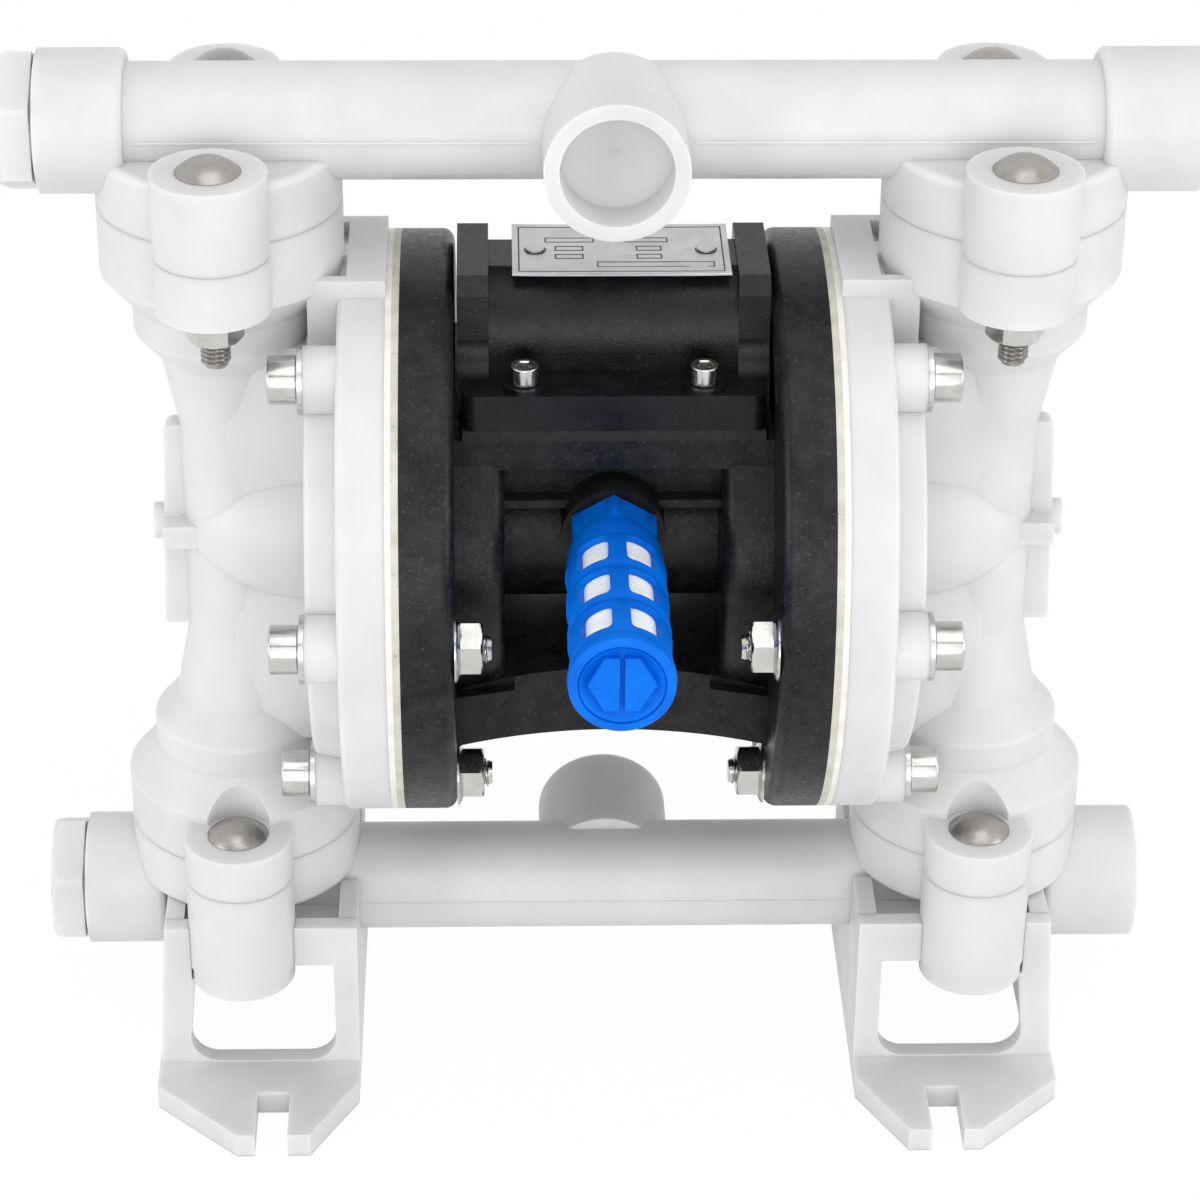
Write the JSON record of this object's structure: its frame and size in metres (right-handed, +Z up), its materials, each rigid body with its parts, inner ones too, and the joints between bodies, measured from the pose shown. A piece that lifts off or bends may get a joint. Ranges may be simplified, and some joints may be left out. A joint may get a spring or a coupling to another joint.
{
  "type": "air operated double diaphragm pump",
  "caption": "Air operated double diaphragm pump: two moulded fluid chambers on a dark centre body, manifolds above and below, slotted feet, air valve and exhaust silencer.",
  "frame": {"origin": "on the floor, in the middle between the four foot slots", "axes": "+X to the right along the shaft and both manifolds, +Y to the back, +Z up"},
  "size_m": [0.2371, 0.1474, 0.2286],
  "materials": {
    "natural_polypropylene": "natural moulded polypropylene, slightly translucent, satin",
    "black_polypropylene": "black moulded glass-filled polypropylene, mottled matt",
    "black_valve_plastic": "black moulded polypropylene, satin",
    "stainless_steel": "bright stainless steel",
    "ptfe": "white PTFE sheet",
    "backup_rubber": "light elastomer backup sheet",
    "black_rubber": "black nitrile rubber",
    "bronze": "sintered bronze",
    "aluminium": "machined aluminium",
    "blue_plastic": "bright blue moulded plastic, satin",
    "porous_polyethylene": "white sintered porous polyethylene",
    "name_plate_metal": "brushed aluminium sheet"
  },
  "bodies": {
    "pump": {"center_body": "black_polypropylene", "valve_body": "black_valve_plastic", "valve_gasket": "black_rubber", "valve_sleeve": "aluminium", "valve_plug_seals": "black_rubber", "valve_screws": "stainless_steel", "valve_screw_washers": "black_valve_plastic", "name_plate": "name_plate_metal", "name_plate_rivets": "name_plate_metal", "muffler_body": "blue_plastic", "muffler_element": "porous_polyethylene", "outlet_manifold": "natural_polypropylene", "inlet_manifold": "natural_polypropylene", "outlet_plug": "natural_polypropylene", "inlet_plug": "natural_polypropylene", "plug_seals": "ptfe", "outlet_seat_rings": "ptfe", "inlet_seat_rings": "ptfe", "outlet_flange_bolts": "stainless_steel", "outlet_flange_washers": "stainless_steel", "outlet_flange_nuts": "stainless_steel", "inlet_flange_bolts": "stainless_steel", "inlet_flange_nuts": "stainless_steel", "shaft_bush_left": "bronze", "shaft_bush_right": "bronze", "shaft_seal_left": "black_rubber", "shaft_seal_right": "black_rubber", "backup_diaphragm_left": "backup_rubber", "backup_diaphragm_right": "backup_rubber", "diaphragm_left": "ptfe", "diaphragm_right": "ptfe", "chamber_left": "natural_polypropylene", "chamber_right": "natural_polypropylene", "foot_left": "natural_polypropylene", "foot_right": "natural_polypropylene", "foot_walls_left": "natural_polypropylene", "foot_walls_right": "natural_polypropylene", "valve_end_plug_left": "black_valve_plastic", "valve_end_plug_right": "black_valve_plastic", "outlet_seat_left": "natural_polypropylene", "outlet_seat_right": "natural_polypropylene", "inlet_seat_left": "natural_polypropylene", "inlet_seat_right": "natural_polypropylene", "chamber_bolts_left": "stainless_steel", "chamber_bolts_right": "stainless_steel", "chamber_washers_left": "stainless_steel", "chamber_washers_right": "stainless_steel", "chamber_nuts_left": "stainless_steel", "chamber_nuts_right": "stainless_steel"},
    "shaft": {"diaphragm_shaft": "stainless_steel", "inner_plate_left": "aluminium", "inner_plate_right": "aluminium", "outer_plate_left": "natural_polypropylene", "outer_plate_right": "natural_polypropylene"},
    "spool": {"valve_spool": "aluminium", "spool_seals": "black_rubber"},
    "outlet_ball_left": {"outlet_ball_left": "ptfe"},
    "outlet_ball_right": {"outlet_ball_right": "ptfe"},
    "inlet_ball_left": {"inlet_ball_left": "ptfe"},
    "inlet_ball_right": {"inlet_ball_right": "ptfe"}
  },
  "joints": [
    {"name": "shaft_stroke", "type": "slide", "parent": "pump", "child": "shaft", "axis": [1, 0, 0], "range_m": [-0.005, 0.005], "deforming": ["backup_diaphragm_left", "backup_diaphragm_right", "diaphragm_left", "diaphragm_right"]},
    {"name": "spool_shift", "type": "slide", "parent": "pump", "child": "spool", "axis": [1, 0, 0], "range_m": [-0.005, 0.005]},
    {"name": "outlet_ball_left_lift", "type": "slide", "parent": "pump", "child": "outlet_ball_left", "axis": [0, 0, 1], "range_m": [0, 0.005]},
    {"name": "outlet_ball_right_lift", "type": "slide", "parent": "pump", "child": "outlet_ball_right", "axis": [0, 0, 1], "range_m": [0, 0.005]},
    {"name": "inlet_ball_left_lift", "type": "slide", "parent": "pump", "child": "inlet_ball_left", "axis": [0, 0, 1], "range_m": [0, 0.005]},
    {"name": "inlet_ball_right_lift", "type": "slide", "parent": "pump", "child": "inlet_ball_right", "axis": [0, 0, 1], "range_m": [0, 0.005]}
  ]
}
